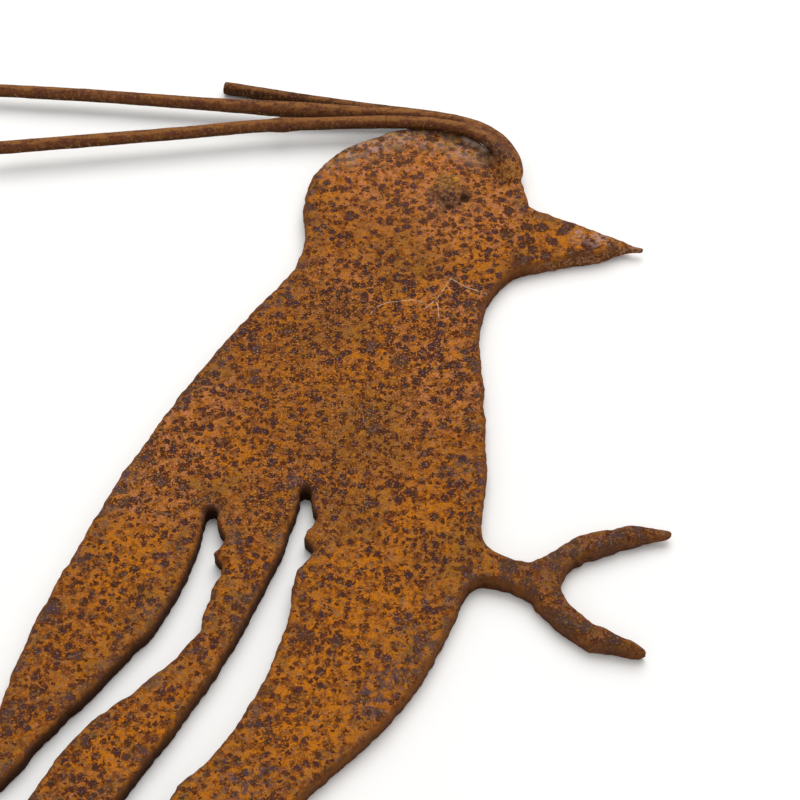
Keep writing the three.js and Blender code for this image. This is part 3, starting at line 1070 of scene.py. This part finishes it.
def between(a, b, c, d, knots, t):
    """A point of the centripetal curve from b to c."""
    def blend(first, last, start, end):
        return first.lerp(last, (t - start) / (end - start))
    ab = blend(a, b, knots[0], knots[1])
    bc = blend(b, c, knots[1], knots[2])
    cd = blend(c, d, knots[2], knots[3])
    abc = blend(ab, bc, knots[0], knots[2])
    bcd = blend(bc, cd, knots[1], knots[3])
    return blend(abc, bcd, knots[1], knots[2])


def rod_shape(path, radius, seed, swells):
    """A hammered rod round a path, with cut ends whose arris is a little worn."""
    shape = bmesh.new()
    rings = []
    last = len(path) - 1
    stations = [(0, END_FACE_SHARE, 0.0), (0, ARRIS_SHARE, ARRIS_DEPTH)]
    stations += [(i, 1.0, 0.0) for i in range(1, last)]
    stations += [(last, ARRIS_SHARE, -ARRIS_DEPTH), (last, END_FACE_SHARE, 0.0)]
    for index, share, inset in stations:
        ahead = (path[min(index + 1, last)] - path[max(index - 1, 0)]).normalized()
        side = ahead.cross(Vector((0, 0, 1))).normalized()
        up = side.cross(ahead)
        centre = path[index] + ahead * inset
        ring = []
        for spoke in range(ROD_SIDES):
            angle = math.tau * spoke / ROD_SIDES
            out = side * math.cos(angle) + up * math.sin(angle)
            spot = centre + out * radius
            swell = waves(ROD_DENTS, spot.x, spot.y + seed, spot.z)
            swell += sum(bulge(spot.x, spot.y, scale) for scale in swells)
            spot = centre + out * (radius + swell) * share
            spot.z = max(spot.z, 0.0)
            ring.append(shape.verts.new(at(*spot)))
        rings.append(ring)
    for here, there in zip(rings, rings[1:]):
        for i in range(ROD_SIDES):
            j = (i + 1) % ROD_SIDES
            shape.faces.new([here[i], here[j], there[j], there[i]])
    for ring, index in ((rings[0], 0), (rings[-1], last)):
        hub = shape.verts.new(at(*path[index]))
        for i in range(ROD_SIDES):
            shape.faces.new([hub, ring[i], ring[(i + 1) % ROD_SIDES]])
    bmesh.ops.recalc_face_normals(shape, faces=shape.faces[:])
    return shape


# Weld and eye

def lump(shape, centre, spread, subdivisions):
    """An ellipsoid added to a mesh that is to be fused."""
    place = Matrix.Translation(at(*centre)) @ Matrix.Diagonal((*[part * MM for part in spread], 1))
    bmesh.ops.create_icosphere(shape, subdivisions=subdivisions, radius=1, matrix=place)


def fused(name, shape, grain, smoothing, wrinkles):
    """The pieces of a mesh melted into one skin, smoothed, then roughened by soft noise."""
    rough = finished(name + "_rough", shape)
    melt = rough.modifiers.new("melt", "REMESH")
    melt.mode = "VOXEL"
    melt.voxel_size = grain * MM
    bpy.context.view_layer.update()
    seen = rough.evaluated_get(bpy.context.evaluated_depsgraph_get())
    skin = bmesh.new()
    skin.from_mesh(seen.to_mesh())
    bpy.data.objects.remove(rough)
    for _ in range(smoothing):
        bmesh.ops.smooth_vert(
            skin, verts=skin.verts[:], factor=0.5, use_axis_x=True, use_axis_y=True, use_axis_z=True)
    skin.normal_update()
    edge_layer = skin.verts.layers.float.new("from_edge")
    for vertex in skin.verts:
        vertex[edge_layer] = FAR_FROM_EDGE
        x, y, z = (vertex.co - DRAWING_ZERO) / MM
        vertex.co += vertex.normal * waves(wrinkles, x, y, z) * MM
        vertex.co.z = max(vertex.co.z, WELD_FLOOR * MM)
    return finished(name, skin)


def weld():
    """The melted steel that runs from the ends of the rods down on to the brow."""
    shape = bmesh.new()
    for centre, radius in WELD_BEADS:
        lump(shape, centre, (radius,) * 3, LARGE_LUMP)
    front = smooth_path(FRONT_ROD, ROD_STEP)[-FRONT_SHEATHED:]
    behind = smooth_path(MIDDLE_ROD, ROD_STEP)[-MIDDLE_SHEATHED:]
    for spot in front + behind:
        lump(shape, spot, (SHEATH_RADIUS,) * 3, SMALL_LUMP)
    for spot in front:
        nearest = min(behind, key=lambda other: (other - spot).length)
        lump(shape, (spot + nearest) / 2 + BRIDGE_LIFT, (BRIDGE_RADIUS,) * 3, SMALL_LUMP)
    return fused("crest_weld", shape, WELD_GRAIN, WELD_SMOOTHINGS, WELD_WRINKLES)


def eye():
    """The lumpy dab of weld on the front of the head."""
    shape = bmesh.new()
    x, y = EYE_CENTRE
    for (along, up, out), spread in EYE_LUMPS:
        lump(shape, (x + along, y + up, PLATE_THICKNESS + out), spread, LARGE_LUMP)
    return fused("eye_bead", shape, EYE_GRAIN, EYE_SMOOTHINGS, EYE_WRINKLES)


# Dressing the frame

def dress(piece, material, node):
    mark_areas(piece.data)
    piece.data.materials.append(material)
    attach(piece, "root")
    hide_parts(node)


freckled = freckled_rust()
brown = brown_rust()
welded = weld_rust()

dress(plate(), freckled, "bird_sheet")
dress(eye(), welded, "eye_bead")
dress(weld(), welded, "crest_weld")
for name, turns, seed, scale in (
        ("crest_rod_front", FRONT_ROD, 11.0, FRONT_ROD_SCALE),
        ("crest_rod_middle", MIDDLE_ROD, 23.0, MIDDLE_ROD_SCALE),
        ("crest_rod_short", SHORT_ROD, 37.0, ())):
    shape = rod_shape(smooth_path(turns, ROD_STEP), ROD_DIAMETER / 2, seed, scale)
    dress(finished(name + "_dressed", shape), brown, name)


# Table, light and camera

def table():
    shape = bmesh.new()
    bmesh.ops.create_grid(shape, x_segments=4, y_segments=4, size=TABLE_HALF)
    piece = finished("table", shape)
    piece.data.materials.append(pale_table())


def soft_light(name, place, size, power):
    lamp = bpy.data.lights.new(name, "AREA")
    lamp.shape = "DISK"
    lamp.size = size
    lamp.energy = power
    piece = bpy.data.objects.new(name, lamp)
    piece.location = place
    piece.rotation_euler = (-Vector(place)).to_track_quat("-Z", "Y").to_euler()
    bpy.context.scene.collection.objects.link(piece)


def studio():
    world = bpy.data.worlds.new("studio")
    world.use_nodes = True
    sky = world.node_tree.nodes["Background"]
    sky.inputs["Color"].default_value = (1.0, 1.0, 1.0, 1.0)
    sky.inputs["Strength"].default_value = SKY_STRENGTH
    bpy.context.scene.world = world
    soft_light("window", WINDOW_PLACE, WINDOW_SIZE, WINDOW_POWER)
    bpy.context.scene.view_settings.view_transform = "Standard"
    bpy.context.scene.view_settings.look = "None"


def camera():
    lens = bpy.data.cameras.new("camera")
    lens.lens = LENS
    lens.sensor_width = SENSOR
    stand = bpy.data.objects.new("camera", lens)
    back_off = VIEW_DISTANCE * Vector((0, -math.sin(VIEW_TILT), math.cos(VIEW_TILT)))
    stand.location = at(0, 0, PLATE_THICKNESS) + back_off * MM
    stand.rotation_euler = (VIEW_TILT, 0, 0)
    bpy.context.scene.collection.objects.link(stand)
    bpy.context.scene.camera = stand


table()
studio()
camera()
